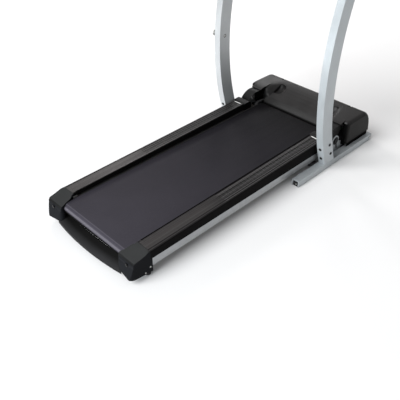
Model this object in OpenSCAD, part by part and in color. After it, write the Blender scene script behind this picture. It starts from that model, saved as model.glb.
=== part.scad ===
// Home treadmill: base with curved uprights, folding walking deck, motor
// bay, console and handrails. Real size in millimetres, Z up, +Y towards
// the motor end, +X to the user's right. Every length along Y below is
// counted from the rear face of the deck and moved to the middle once, in
// shift().

/* [Base] */
// half of the overall width over the floor channels
base_half_w = 355; // [340:1:380]
// width of one floor channel
channel_w = 39; // [36:1:44]
// height of a floor channel, without its pads
channel_h = 35; // [30:1:38]
// wall of the floor channels
channel_wall = 3; // [2:0.5:4]
// rear end of the floor channels
channel_y0 = 1007; // [950:1:1060]
// front end of the floor channels
channel_y1 = 1661; // [1655:1:1662]
// thickness of the rubber pads under the channels
pad_h = 2; // [1:0.5:2.5]

/* [Uprights] */
// width of an upright tube
post_w = 38; // [34:1:38]
// depth of an upright tube
post_d = 75; // [60:1:80]
// wall of an upright tube
post_wall = 2.5; // [2:0.5:4]
// bend radius of the upright's rear face
post_r = 1370; // [1300:10:1500]
// height at which the upright's rear face is furthest back
post_mid_z = 530; // [510:5:550]
// rear face of the upright at that height
post_back_y = 1131; // [1120:1:1140]
// top end of the uprights
post_top_z = 1120; // [1110:5:1120]

/* [Deck] */
// axis of the front roller and of the deck hinge, from the rear face
pivot_y = 1378; // [1374:1:1382]
// height of both roller axes
pivot_z = 89; // [87:1:91]
// radius of the two roller tubes
roller_r = 23; // [20:0.5:24]
// thickness of the walking belt
belt_t = 2; // [1.5:0.5:2.5]
// half width of the walking belt
belt_half_w = 216; // [200:1:217]
// axis of the rear roller
rear_y = 55; // [52:1:60]
// outer half width of the side rails
rail_half_w = 297; // [294:1:298]
// outer half width of the foot rails
foot_half_w = 305; // [302:1:306]
// inner half width of the foot rails
foot_in_w = 225; // [222:1:228]
// height of the foot rail at its outer edge, at the rear
foot_out_z = 131.5; // [129:0.5:133]
// height of the foot rail at its inner edge, at the rear
foot_in_z = 134.5; // [133:0.5:136]
// rise of the foot rails from the rear to the front
foot_rise = 18; // [0:1:20]
// place along the foot rails where the fine ribs begin
rib_y = 545; // [400:5:700]

/* [Motor bay] */
// half width of the hood
hood_half_w = 338; // [334:1:340]
// height of the hood
hood_z = 188; // [186:1:192]
// front face of the hood
hood_front = 1657; // [1650:1:1660]
// wall of the hood
hood_wall = 3; // [2.5:0.5:4]
// motor axis from the rear face
motor_y = 1535; // [1530:1:1545]
// radius of the motor body
motor_r = 42; // [38:1:44]
// radius of the flywheel
flywheel_r = 49; // [46:1:50]
// radius of the pulley on the motor
motor_pulley_r = 14; // [12:1:16]
// radius of the pulley on the front roller
roller_pulley_r = 28; // [24:1:30]

/* [Handrails and console] */
// radius of the handrail tubes
hand_r = 16; // [14:1:17]
// height of the handrails
hand_z = 1060; // [1050:1:1062]
// rear end of the handrails
hand_y = 895; // [880:5:950]
// radius of the foam grips
grip_r = 18.5; // [18:0.5:20]
// height of the storage latch
latch_z = 543; // [540:1:546]
// tilt of the console face
console_tilt = 32; // [25:1:38]
// height of the console's rear lip
console_z = 1072; // [1070:1:1076]

/* [Hidden] */
$fn = 64;
y_mid = 825;
chan_x = base_half_w - channel_w;
chan_top = pad_h + channel_h;
post_x = base_half_w - 0.5 - post_w;
arc_y = post_back_y + post_r;
mid_r = post_r - post_d / 2;
belt_r = roller_r + belt_t;
drum_r = 87.5;
drum_gap = 89.5;
rail_w = 25;
rail_x = rail_half_w - rail_w;
rail_z0 = 40;
foot_tilt = atan(foot_rise / 1140);
rail_z1 = 88;
axle_r = 8;
rear_axle_r = 7.5;
bolt_r = 6;
wheel_y = 1648;
wheel_z = 17.5;
latch_y = arc_y - sqrt(mid_r * mid_r - (latch_z - post_mid_z) * (latch_z - post_mid_z));
latch_d = norm([pivot_y - latch_y, latch_z - pivot_z]);
catch_z = 65;
catch_y = pivot_y - sqrt(latch_d * latch_d - (pivot_z - catch_z) * (pivot_z - catch_z));
con_y = 1110;
hand_x = base_half_w - 0.5 + 17.5;
// one node name, or "all"

// ---- shared helpers ----
module shift() {
    translate([0, -y_mid, 0]) children();
}

module both() {
    children();
    mirror([1, 0, 0]) children();
}

// flat shape drawn as (y, z), given a thickness along X from x0 to x1
module along_x(x0, x1) {
    translate([x0, 0, 0]) rotate([90, 0, 90]) linear_extrude(x1 - x0) children();
}

// box from one corner to the other
module box(a, b) {
    translate(a) cube(b - a);
}

// round bar along X
module rod_x(x0, x1, y, z, r) {
    translate([x0, y, z]) rotate([0, 90, 0]) cylinder(r = r, h = x1 - x0);
}

// round bar along Y
module rod_y(y0, y1, x, z, r) {
    translate([x, y0, z]) rotate([-90, 0, 0]) cylinder(r = r, h = y1 - y0);
}

// curved bar of the upright's bend, from radius r0 to r1, cut level at z0 and z1
module arc_bar(x0, x1, r0, r1, z0, z1) {
    intersection() {
        translate([0, arc_y, post_mid_z]) rotate([90, 0, -90]) rotate([0, 0, -29])
            rotate_extrude(angle = 58, $fn = 180)
            translate([r0, -x1]) square([r1 - r0, x1 - x0]);
        box([x0 - 1, 1000, z0], [x1 + 1, 1500, z1]);
    }
}

// outline of a loop round two pulleys of radius a and b a distance d apart, grown by g
function loop_points(a, b, d, g) = let (f = acos((a - b) / d), n = 48) concat(
    [for (i = [0 : n]) (a + g) * [cos(f + (360 - 2 * f) * i / n), sin(f + (360 - 2 * f) * i / n)]],
    [for (i = [0 : n]) [d, 0] + (b + g) * [cos(2 * f * i / n - f), sin(2 * f * i / n - f)]]
);

// belt of thickness t round the same two pulleys
module loop_2d(a, b, d, t) {
    difference() {
        polygon(loop_points(a, b, d, t));
        polygon(loop_points(a, b, d, 0.06));
    }
}

// ---- base ----
module channel() {
    difference() {
        box([chan_x, channel_y0, pad_h], [base_half_w, channel_y1, chan_top]);
        box([chan_x + channel_wall, channel_y0 - 1, 0],
            [base_half_w - channel_wall, channel_y1 + 1, chan_top - channel_wall]);
        rod_x(chan_x - 1, base_half_w + 1, wheel_y, wheel_z, 4.05);
    }
}

module base_channel_right() {
    color([0.66, 0.69, 0.71]) shift() channel();
}

module base_channel_left() {
    color([0.66, 0.69, 0.71]) shift() mirror([1, 0, 0]) channel();
}

module tube_x(y0, y1, z0, z1) {
    difference() {
        box([-chan_x, y0, z0], [chan_x, y1, z1]);
        box([-chan_x - 1, y0 + 2, z0 + 2], [chan_x + 1, y1 - 2, z1 - 2]);
    }
}

module cross_tubes() {
    color([0.2, 0.2, 0.22]) shift() {
        tube_x(1195, 1225, 6, 31);
        tube_x(1440, 1470, 6, 31);
        tube_x(1590, 1625, 6, 31);
    }
}

module foot_pads() {
    color([0.1, 0.1, 0.1]) shift() both() {
        box([chan_x + 3.5, channel_y0 + 6, 0], [base_half_w - 3.5, channel_y0 + 46, 20]);
        box([chan_x + 3.5, 1540, 0], [base_half_w - 3.5, 1580, 20]);
    }
}

module pivot_plates() {
    color([0.66, 0.69, 0.71]) shift() both() difference() {
        union() {
            along_x(298.5, 303.5) {
                translate([pivot_y, pivot_z]) circle(r = 30);
                polygon([[1340, 5], [1344, 62], [pivot_y - 27, pivot_z - 8],
                    [pivot_y + 14, pivot_z - 1], [1481, 41], [1481, 36], [1438, 5]]);
            }
            // foot against the floor channel
            box([303, 1345, 5], [chan_x, 1436, 9]);
        }
        rod_x(290, 330, pivot_y, pivot_z, bolt_r + 0.03);
        box([297, 1439.5, 0], [320, 1470.5, 31.5]);
        box([297, 1430, 0], [320, 1490, 12]);
    }
}

module pivot_bolts() {
    color([0.08, 0.08, 0.09]) shift() both() {
        rod_x(288.6, 305, pivot_y, pivot_z, bolt_r);
        rod_x(303.6, 305.6, pivot_y, pivot_z, 22);
        rod_x(305.5, 309, pivot_y, pivot_z, 15);
        // tab that keeps the bolt from turning
        along_x(303.6, 305.6) polygon([[pivot_y + 2, 76], [pivot_y + 12, 76],
            [pivot_y + 20, 40], [pivot_y + 13, 40]]);
    }
}

module post_sockets() {
    color([0.3, 0.3, 0.32]) shift() both() difference() {
        arc_bar(post_x + post_wall + 0.3, post_x + post_w - post_wall - 0.3,
            post_r - post_d + post_wall + 0.3, post_r - post_wall - 0.3, chan_top, 178);
        arc_bar(post_x + post_wall + 3.3, post_x + post_w - post_wall - 3.3,
            post_r - post_d + post_wall + 3.3, post_r - post_wall - 3.3, chan_top - 1, 179);
        post_holes(4.4);
    }
}

// the four holes at the foot of one upright
module post_holes(r) {
    for (z = [73, 134]) {
        a = asin((post_mid_z - z) / post_r);
        translate([post_x + post_w / 2, arc_y, post_mid_z]) rotate([a, 0, 0])
            translate([0, -post_r - 1, 0]) rotate([-90, 0, 0]) cylinder(r = r, h = 14);
    }
    rod_x(post_x + post_w - 13, post_x + post_w + 1, 1240, 148, r);
    rod_x(post_x + post_w - 13, post_x + post_w + 1, 1262, 88, r);
}

module post() {
    difference() {
        arc_bar(post_x, post_x + post_w, post_r - post_d, post_r, chan_top, post_top_z);
        arc_bar(post_x + post_wall, post_x + post_w - post_wall,
            post_r - post_d + post_wall, post_r - post_wall, chan_top - 1, post_top_z + 1);
        post_holes(4.4);
    }
}

module upright_right() {
    color([0.7, 0.74, 0.76]) shift() post();
}

module upright_left() {
    color([0.7, 0.74, 0.76]) shift() mirror([1, 0, 0]) difference() {
        post();
        rod_x(300, 370, latch_y, latch_z, 9.2);
    }
}

module post_bolts() {
    color([0.05, 0.05, 0.06]) shift() both() {
        for (z = [73, 134]) {
            a = asin((post_mid_z - z) / post_r);
            translate([post_x + post_w / 2, arc_y, post_mid_z]) rotate([a, 0, 0])
                translate([0, -post_r - 3, 0]) rotate([-90, 0, 0]) bolt();
        }
        translate([post_x + post_w + 3, 1240, 148]) rotate([0, -90, 0]) bolt();
        translate([post_x + post_w + 3, 1262, 88]) rotate([0, -90, 0]) bolt();
    }
}

// button head bolt pointing along +Z, head from 0 to 3
module bolt() {
    difference() {
        cylinder(r1 = 7, r2 = 8.5, h = 2.9);
        translate([0, 0, -1]) cylinder(r = 2.6, h = 3, $fn = 6);
    }
    translate([0, 0, 2.8]) cylinder(r = 4, h = 10);
}

module wheel() {
    difference() {
        rod_x(chan_x + 6, base_half_w - 6, wheel_y, wheel_z, 16);
        rod_x(chan_x, base_half_w, wheel_y, wheel_z, 4.05);
        rod_x(chan_x + 5, chan_x + 9, wheel_y, wheel_z, 10);
        rod_x(base_half_w - 9, base_half_w - 5, wheel_y, wheel_z, 10);
    }
}

module wheel_right() {
    color([0.12, 0.12, 0.12]) shift() wheel();
}

module wheel_left() {
    color([0.12, 0.12, 0.12]) shift() mirror([1, 0, 0]) wheel();
}

module wheel_axles() {
    color([0.6, 0.6, 0.62]) shift() both() {
        rod_x(chan_x - 1, base_half_w + 1, wheel_y, wheel_z, 4);
        rod_x(base_half_w + 0.2, base_half_w + 3, wheel_y, wheel_z, 7);
    }
}

// ---- motor bay ----
module motor_pan() {
    color([0.1, 0.1, 0.11]) shift() difference() {
        union() {
            difference() {
                box([-305, 1436, 31], [305, 1645, 50]);
                box([-303, 1438, 33], [303, 1643, 51]);
                box([-306, 1435, 34.5], [306, 1500, 51]);
                box([160, 1640, 38], [230, 1650, 51]);
            }
            box([-297, 1300, 31], [297, 1437, 33]);
            // posts that carry the hood
            both() translate([285, 1578, 32]) cylinder(r = 7, h = hood_z - hood_wall - 32.1);
        }
        both() box([297, 1430, 30], [306, 1490, 51]);
        both() translate([285, 1578, 168]) cylinder(r = 2.4, h = 30);
    }
}

// side view of the hood's outer parts, shrunk by g
module hood_bar_2d(g) {
    offset(delta = -g) polygon([[1428, 51], [1428, 176], [1434, 184], [1448, hood_z - 1],
        [1466, hood_z], [1583, hood_z], [1598, 184.5], [1614, 175], [1629, 159],
        [1641, 138], [1649, 112], [hood_front, 66], [hood_front, 58], [1653, 51]]);
}

// rounded outer part of the hood, shrunk by g
module hood_end(g) {
    hull() {
        along_x(241, 316 - g) hood_bar_2d(g);
        along_x(241, 325 - g) hood_bar_2d(2 + g);
        along_x(241, 331 - g) hood_bar_2d(5 + g);
        along_x(241, 335.5 - g) hood_bar_2d(10 + g);
        along_x(241, hood_half_w - g) hood_bar_2d(18 + g);
    }
}

// lip of the hood over the covers at the hinge, shrunk by g
module lip(g) {
    along_x(241, 306) polygon([[1399 + g / 3, 172 - g], [1399 + g / 3, 179 - g],
        [1412, 183.5 - g], [1430, 186.5 - g], [1450, hood_z - 0.5 - g], [1500, hood_z - g],
        [1500, 100]]);
}

// ridge beside the sloping centre of the hood, shrunk by g
module ridge(g) {
    hull() {
        along_x(231, 242) polygon([[1426 + g, 84], [1426 + g, 118], [1430 + g, 150 - g / 2],
            [1440 + g / 2, 170 - g], [1456, 181 - g], [1480, 186.5 - g], [1510, hood_z - g],
            [1580, hood_z - g], [1580, 84]]);
        along_x(222, 242) polygon([[1427 + g, 84], [1427 + g, 116], [1432 + g, 147 - g / 2],
            [1443 + g / 2, 165 - g], [1460, 176 - g], [1485, 183 - g], [1510, 186.5 - g],
            [1580, hood_z - 0.5 - g], [1580, 84]]);
        along_x(200 + g, 202 + g) polygon([[1437 + g, 84], [1437 + g, 131 - g],
            [1456 + g / 2, 151 - g], [1481, 165 - g], [1500, 172 - g], [1525, 180 - g],
            [1550, 185 - g], [1580, 187.2 - g], [1580, 84]]);
    }
}

// sloping centre and front of the hood, shrunk by g
module apron(w, g) {
    along_x(-w, w) offset(delta = -g) polygon([[1406, 84], [1406, 100], [1412, 112],
        [1421, 124], [1436, 138], [1452, 149], [1475, 161], [1500, 171], [1525, 179],
        [1550, 185], [1572, hood_z - 0.5], [1583, hood_z], [1598, 184.5], [1614, 175],
        [1629, 159], [1641, 138], [1649, 112], [hood_front, 66], [hood_front, 58],
        [1653, 51], [1600, 51], [1600, 84]]);
}

// hollow in the sloping centre beside each ridge, grown by g
module scoop(g) {
    intersection() {
        translate([188, 1491, 202]) sphere(r = 54 + g);
        box([100, 1400, 80], [200 + g, 1600, 300]);
    }
}

module hood_solid(g) {
    both() {
        hood_end(g);
        lip(g);
        ridge(g);
    }
}

module hood() {
    color([0.09, 0.09, 0.1]) shift() difference() {
        union() {
            difference() {
                union() {
                    hood_solid(0);
                    apron(222.5, 0);
                    both() box([230, 1581, 60], [242, 1600, 80]);
                }
                hood_solid(hood_wall);
                apron(219.5, hood_wall);
            }
            both() intersection() {
                scoop(hood_wall);
                along_x(120, 206) polygon([[1440, 142], [1475, 160.8], [1500, 170.8], [1525, 178.8],
                    [1550, 184.8], [1560, 186], [1560, 120], [1440, 120]]);
            }
        }
        both() scoop(0);
        box([-219.5, 1409, 80], [219.5, 1604, 90]);
        box([-hood_half_w + 3, 1431, 30], [hood_half_w - 3, 1650, 61]);
        // room for the covers that turn with the deck and for the drive belt
        both() rod_x(240.5, 306, pivot_y, pivot_z, drum_gap);
        both() box([222, 1340, 30], [246, 1550, 118.5]);
        // inlet, switch and cooling slots
        box([172, 1640, 70], [198, 1665, 90]);
        box([206, 1640, 71], [220, 1665, 89]);
        for (i = [0 : 7]) box([-60 + 16 * i, 1640, 62], [-52 + 16 * i, 1665, 78]);
        both() translate([285, 1578, 160]) cylinder(r = 2.5, h = 40);
        both() translate([285, 1578, hood_z - 2.6]) cylinder(r1 = 2.4, r2 = 5, h = 2.7);
    }
}

module hood_screws() {
    color([0.06, 0.06, 0.06]) shift() both() translate([285, 1578, 0]) {
        translate([0, 0, hood_z - 16]) cylinder(r = 2.3, h = 15);
        translate([0, 0, hood_z - 2.3]) cylinder(r1 = 2.3, r2 = 4.4, h = 2.2);
    }
}

module motor_body() {
    color([0.16, 0.16, 0.17]) shift() {
        difference() {
            rod_x(-92, 70, motor_y, pivot_z + 1, motor_r);
            rod_x(-93, 71, motor_y, pivot_z + 1, 7.05);
            for (a = [0 : 45 : 315]) {
                translate([0, motor_y, pivot_z + 1]) rotate([a, 0, 0])
                    box([-84, -4, 34], [-64, 4, 46]);
            }
        }
        box([-60, motor_y - 30, 33], [-35, motor_y + 30, 56]);
        box([20, motor_y - 30, 33], [45, motor_y + 30, 56]);
    }
}

module motor_rotor() {
    color([0.55, 0.56, 0.58]) shift() {
        rod_x(-244, 78, motor_y, pivot_z + 1, 7);
        difference() {
            rod_x(-134, -108, motor_y, pivot_z + 1, flywheel_r);
            rod_x(-135, -128, motor_y, pivot_z + 1, flywheel_r - 9);
            for (a = [0 : 60 : 300]) translate([0, motor_y, pivot_z + 1])
                rotate([a, 0, 0]) rod_x(-140, -100, 0, 26, 6);
        }
        rod_x(-135, -106, motor_y, pivot_z + 1, 13);
        rod_x(-242, -226, motor_y, pivot_z + 1, motor_pulley_r);
        rod_x(-243.4, -241.8, motor_y, pivot_z + 1, motor_pulley_r + 2.5);
    }
}

module drive_belt() {
    color([0.04, 0.04, 0.04]) shift() translate([0, pivot_y, pivot_z])
        rotate([atan(1 / (motor_y - pivot_y)), 0, 0])
        along_x(-241, -227)
        loop_2d(roller_pulley_r, motor_pulley_r, motor_y - pivot_y, 2);
}

module controller() {
    color([0.1, 0.35, 0.18]) shift() {
        box([95, 1470, 40], [215, 1600, 42]);
        for (x = [100, 206]) for (y = [1476, 1590]) {
            translate([x + 2, y + 2, 33]) cylinder(r = 3, h = 7.1);
        }
        box([102, 1480, 42], [140, 1590, 44]);
        for (i = [0 : 5]) box([103 + 6.6 * i, 1480, 43.8], [105.6 + 6.6 * i, 1590, 74]);
        translate([165, 1500, 41.9]) cylinder(r = 13, h = 38);
        translate([196, 1500, 41.9]) cylinder(r = 13, h = 38);
        box([155, 1535, 41.9], [185, 1565, 62]);
    }
}

module power_inlet() {
    color([0.05, 0.05, 0.05]) shift() difference() {
        union() {
            box([173, 1632, 71], [197, 1658, 89]);
            box([169, hood_front + 0.2, 67], [201, hood_front + 3, 93]);
        }
        box([176, 1640, 74], [194, 1665, 86]);
    }
}

module power_switch() {
    color([0.45, 0.05, 0.04]) shift() along_x(206.6, 219.4) translate([1652, 80])
        polygon([[-5, -6], [5.5, -8], [3.6, 0], [5.5, 8], [-5, 6]]);
}

// ---- deck ----
module side_rail() {
    difference() {
        union() {
            box([rail_x, 60, rail_z0], [rail_half_w, 1330, rail_z1]);
            // shelf for the deck cushions
            box([238, 130, 84], [rail_x + 1, 1310, 87]);
            // bracket of the rear roller
            box([rail_x, 22, 66], [rail_x + 4, 80, rail_z1 + 12]);
            box([250, 22, 66], [rail_x + 4, 26, 102]);
        }
        box([rail_x + 2, 59, rail_z0 + 2], [rail_half_w - 2, 1331, rail_z1 - 2]);
        rod_y(20, 30, 262, pivot_z, 4.2);
    }
}

module side_rail_right() {
    color([0.6, 0.61, 0.63]) shift() side_rail();
}

module side_rail_left() {
    color([0.6, 0.61, 0.63]) shift() mirror([1, 0, 0]) difference() {
        side_rail();
        rod_x(290, 300, catch_y, catch_z, 8.5);
    }
}

module deck_crossmembers() {
    color([0.12, 0.12, 0.13]) shift() for (y = [240, 690, 1140]) difference() {
        box([-rail_x, y, 38], [rail_x, y + 40, 60]);
        box([-rail_x - 1, y + 2, 40], [rail_x + 1, y + 38, 58]);
    }
}

module deck_board() {
    color([0.2, 0.18, 0.16]) shift()
        box([-262, 115, 94], [262, 1335, pivot_z + roller_r - 0.4]);
}

module deck_isolators() {
    color([0.05, 0.05, 0.05]) shift() both() for (y = [180, 480, 780, 1080, 1280])
        translate([252, y, 87]) cylinder(r = 11, h = 7);
}

module deck_lugs() {
    color([0.3, 0.31, 0.33]) shift() both() difference() {
        union() {
            rod_x(rail_x + 2.3, rail_half_w - 0.5, pivot_y, pivot_z, 24);
            box([rail_x + 2.3, 1290, rail_z0 + 2.3], [rail_half_w - 2.3, pivot_y - 16, rail_z1 - 2.3]);
            box([rail_x + 2.3, 1331, 62], [rail_half_w - 0.5, pivot_y, 112]);
        }
        rod_x(rail_x, 286.4, pivot_y, pivot_z, axle_r + 0.03);
        rod_x(288, 300, pivot_y, pivot_z, bolt_r + 0.05);
    }
}

module front_axle() {
    color([0.62, 0.63, 0.65]) shift() rod_x(-286, 286, pivot_y, pivot_z, axle_r);
}

// roller with its two bearings, bore r
module roller(y, r) {
    difference() {
        rod_x(-222, 222, y, pivot_z, roller_r);
        rod_x(-223, 223, y, pivot_z, r);
        rod_x(-204, 204, y, pivot_z, roller_r - 3);
        rod_x(-223, -219, y, pivot_z, roller_r - 5);
        rod_x(219, 223, y, pivot_z, roller_r - 5);
    }
}

module front_roller() {
    color([0.55, 0.56, 0.58]) shift() roller(pivot_y, axle_r + 0.05);
}

module roller_pulley() {
    color([0.3, 0.3, 0.31]) shift() difference() {
        union() {
            rod_x(-242, -223, pivot_y, pivot_z, roller_pulley_r);
            rod_x(-243.5, -241.9, pivot_y, pivot_z, roller_pulley_r + 2.5);
        }
        rod_x(-250, -220, pivot_y, pivot_z, axle_r + 0.05);
    }
}

module rear_axle() {
    color([0.62, 0.63, 0.65]) shift() difference() {
        rod_x(-271.5, 271.5, rear_y, pivot_z, rear_axle_r);
        both() rod_y(rear_y - 10, rear_y + 10, 262, pivot_z, 4.03);
    }
}

module rear_roller() {
    color([0.55, 0.56, 0.58]) shift() roller(rear_y, rear_axle_r + 0.05);
}

module rear_adjusters() {
    color([0.5, 0.5, 0.52]) shift() both() {
        rod_y(13, 72, 262, pivot_z, 4);
        difference() {
            rod_y(8, 14, 262, pivot_z, 7);
            translate([262, 7, pivot_z]) rotate([-90, 0, 0]) cylinder(r = 3.2, h = 5, $fn = 6);
        }
        rod_y(26, 31, 262, pivot_z, 8);
    }
}

module walking_belt() {
    color([0.13, 0.13, 0.15]) shift() translate([0, rear_y, pivot_z])
        along_x(-belt_half_w, belt_half_w)
        loop_2d(roller_r, roller_r, pivot_y - rear_y, belt_t);
}

// cross-section of a foot rail as (x, z)
module foot_2d() {
    polygon([
        [foot_half_w, 60], [foot_half_w, foot_out_z - 7], [foot_half_w - 1.5, foot_out_z - 3],
        [foot_half_w - 5, foot_out_z], [foot_in_w + 4, foot_in_z], [foot_in_w + 1, foot_in_z - 1],
        [foot_in_w, foot_in_z - 4], [foot_in_w, 95], [foot_in_w + 3, 95],
        [foot_in_w + 3, foot_in_z - 4], [foot_half_w - 6, foot_out_z - 4],
        [foot_half_w - 3, foot_out_z - 8], [foot_half_w - 3, 60]
    ]);
}

// height of the foot rail's top at x
function foot_top(x) = foot_in_z + (foot_out_z - foot_in_z) * (x - foot_in_w - 4) / (foot_half_w - foot_in_w - 9);

module foot_rail() {
    difference() {
        translate([0, 100, 0]) rotate([foot_tilt, 0, 0]) difference() {
            translate([0, 1170, 0]) rotate([90, 0, 0]) linear_extrude(1190) foot_2d();
            // long grooves over the whole rail
            box([foot_in_w + 3.2, -30, foot_top(foot_in_w + 4) - 1.8],
                [foot_in_w + 5.2, 1180, foot_top(foot_in_w + 4) + 5]);
            box([291, -30, foot_top(292) - 1.6], [294, 1180, foot_top(292) + 5]);
            // the forward part: three long bars between sunk bands with cross ribs
            for (b = [[233, 247], [251, 266], [270, 277], [281, 287]]) {
                box([b[0], rib_y - 100, foot_top(b[1]) - 1.3], [b[1], 1180, foot_top(b[0]) + 5]);
            }
        }
        box([200, 50, 0], [320, 100.4, 200]);
        box([200, 1244.6, 0], [320, 1400, 200]);
        box([200, 50, 0], [264, 1300, 119]);
        box([260, 50, 0], [320, 1300, 89]);
    }
    // ribs that carry the rail on the board and the side rail
    for (y = [160, 420, 680, 940, 1180]) {
        box([256, y, pivot_z + roller_r - 0.3], [260, y + 30, foot_top(258) - 2.5 + (y - 100) * foot_rise / 1140]);
        box([296, y, rail_z1 + 0.2], [299, y + 30, foot_top(297) - 3 + (y - 100) * foot_rise / 1140]);
    }
}

module foot_rail_right() {
    color([0.1, 0.1, 0.1]) shift() foot_rail();
}

module foot_rail_left() {
    color([0.1, 0.1, 0.1]) shift() mirror([1, 0, 0]) foot_rail();
}

module rail_end_blocks() {
    color([0.09, 0.09, 0.1]) shift() both() difference() {
        along_x(foot_in_w - 1, foot_half_w - 1) polygon([[1245.2, 95], [1245.2, 149],
            [1247, 152], [1251, 154], [1270, 155.5], [1284, 155.5], [1294, 150], [1300, 140],
            [1302, 126], [1302, 95]]);
        along_x(foot_in_w + 2, foot_half_w - 4) polygon([[1240, 90], [1240, 146],
            [1252, 151], [1270, 152.5], [1283, 152.5], [1291, 148], [1297, 139],
            [1299, 125], [1299, 90]]);
        box([foot_in_w + 6, 1256, 154], [foot_half_w - 6, 1259, 158]);
        // clear of the deck board
        box([foot_in_w - 3, 1240, 94], [264, 1310, 112.2]);
    }
}

module pivot_covers() {
    color([0.08, 0.08, 0.09]) shift() both() intersection() {
        difference() {
            rod_x(246, 303.5, pivot_y, pivot_z, drum_r);
            rod_x(245, 300.5, pivot_y, pivot_z, drum_r - 3);
            rod_x(245, 310, pivot_y, pivot_z, 34);
        }
        along_x(240, 310) translate([pivot_y, pivot_z])
            polygon([[0, 0], [-120, 66], [-120, 120], [60, 120]]);
    }
}

// outline of an end cap seen from above, front end at y1
module cap_plan(y1) {
    polygon([[foot_in_w - 1, y1], [foot_in_w - 1.5, 50], [223.4, 30], [221.5, 14], [226, 6], [237, 4],
        [285, -5], [289, -4.6], [293, -2], [298, 4], [302, 13],
        [303.5, 40], [304.5, 66], [foot_half_w + 0.5, 100], [foot_half_w + 0.5, y1]]);
}

// part of an end cap that wraps the corner of the belt, seen from above
module cap_lobe() {
    polygon([[226, 88], [219, 84], [214, 74], [209.5, 44], [204.5, 32], [203, 24], [205, 15],
        [211, 9], [222, 6], [226, 6]]);
}

// side view of an end cap as (y, z), front end at y1, underside at z0
module cap_side(y1, z0) {
    polygon([[40, z0 + 4], [-4.5, z0 + 8], [11.3, 88.5], [11.6, 90.4], [13, 91], [14.4, 104],
        [20, 113], [26, 115.5], [48, 119], [72, 124.5], [100, 134], [y1 + 30, 136],
        [y1 + 30, 88.6], [y1 + 38, 88.6], [y1 + 38, z0]]);
}

// cross-section of an end cap as (x, z), shrunk by g
module cap_front(g) {
    polygon([[200, 10], [200, 137 - g], [foot_in_w + 4, foot_in_z + 0.8 - g],
        [foot_half_w - 6, foot_out_z + 0.8 - g], [foot_half_w - 1 - g, foot_out_z - 2.5 - g],
        [foot_half_w + 0.5 - g, foot_out_z - 8 - g], [foot_half_w + 0.5 - g, 10]]);
}

module end_cap() {
    difference() {
        intersection() {
            translate([0, 0, 20]) linear_extrude(125) cap_plan(109);
            along_x(200, 320) cap_side(71, 22);
            along_x(200, 320) polygon([[-9, 20], [-9, 140], [100, 140], [100, 88.6], [109, 88.6],
                [109, 20]]);
            translate([0, 150, 0]) rotate([90, 0, 0]) linear_extrude(200) cap_front(0);
        }
        intersection() {
            translate([0, 0, 10]) linear_extrude(125) offset(delta = -3) cap_plan(140);
            along_x(200, 320) offset(delta = -3) cap_side(140, 5);
            translate([0, 150, 0]) rotate([90, 0, 0]) linear_extrude(200) cap_front(3);
        }
        rod_x(215, 232, rear_y, pivot_z, 11);
        box([215, rear_y - 11, 19], [232, rear_y + 11, pivot_z]);
        rod_y(-5, 18, 262, pivot_z, 8.5);
    }
    difference() {
        intersection() {
            translate([0, 0, 20]) linear_extrude(125) cap_lobe();
            along_x(200, 320) cap_side(71, 22);
        }
        rod_x(195, 230, rear_y, pivot_z, roller_r + belt_t + 1.5);
        box([195, rear_y, 10], [230, 120, pivot_z + roller_r + belt_t + 1.5]);
        box([195, 32, 10], [230, 120, pivot_z]);
    }
}

module end_cap_right() {
    color([0.11, 0.12, 0.12]) shift() end_cap();
}

module end_cap_left() {
    color([0.11, 0.12, 0.12]) shift() mirror([1, 0, 0]) end_cap();
}

module rear_skirt() {
    color([0.13, 0.13, 0.14]) shift() difference() {
        intersection() {
            translate([0, 1450 - 14, 0]) rotate([0, 0, -90 - 9]) rotate_extrude(angle = 18, $fn = 180)
                polygon([[1450, 17], [1450, 33], [1396, 59], [1396, 56], [1447, 31], [1447, 17]]);
            box([-238, -30, 0], [238, 100, 100]);
        }
        both() linear_extrude(130) offset(delta = 0.4) {
            cap_plan(140);
            cap_lobe();
        }
    }
}

module belt_guides() {
    color([0.6, 0.6, 0.6]) shift() both() difference() {
        box([217, 92, 100], [223.4, 114.7, 121]);
        box([216, 91, 99], [220, 117, 116]);
    }
}

module rear_feet() {
    color([0.06, 0.06, 0.06]) shift() both() {
        translate([284.5, 96, 0]) cylinder(r1 = 13, r2 = 11, h = 20);
        translate([284.5, 96, 19.9]) cylinder(r = 6, h = rail_z0 - 19.9);
    }
}

// ---- handrails, latch and console ----
module handrail() {
    rod_y(hand_y + 40, 1275, hand_x, hand_z, hand_r);
    rod_y(hand_y + 40, 1262, hand_x, hand_z - 80, hand_r);
    translate([hand_x, hand_y + 40, hand_z - 40]) rotate([90, 0, -90]) rotate([0, 0, -90])
        rotate_extrude(angle = 180) translate([40, 0]) circle(r = hand_r);
    // plate against the upright's outer face
    box([post_x + post_w + 0.1, 1232, hand_z - 102], [hand_x - 8, 1260, hand_z + 22]);
}

module handrail_right() {
    color([0.66, 0.69, 0.71]) shift() handrail();
}

module handrail_left() {
    color([0.66, 0.69, 0.71]) shift() mirror([1, 0, 0]) handrail();
}

module grip() {
    difference() {
        rod_y(hand_y + 46, 1190, hand_x, hand_z, grip_r);
        rod_y(hand_y + 40, 1200, hand_x, hand_z, hand_r + 0.05);
    }
}

module grip_right() {
    color([0.07, 0.07, 0.07]) shift() grip();
}

module grip_left() {
    color([0.07, 0.07, 0.07]) shift() mirror([1, 0, 0]) grip();
}

module latch_housing() {
    color([0.08, 0.08, 0.09]) shift() mirror([1, 0, 0]) difference() {
        union() {
            rod_x(post_x + 0.2, post_x + post_w + 2, latch_y, latch_z, 9);
            rod_x(post_x + post_w + 0.1, post_x + post_w + 3, latch_y, latch_z, 19);
        }
        rod_x(300, 400, latch_y, latch_z, 6.05);
    }
}

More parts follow.
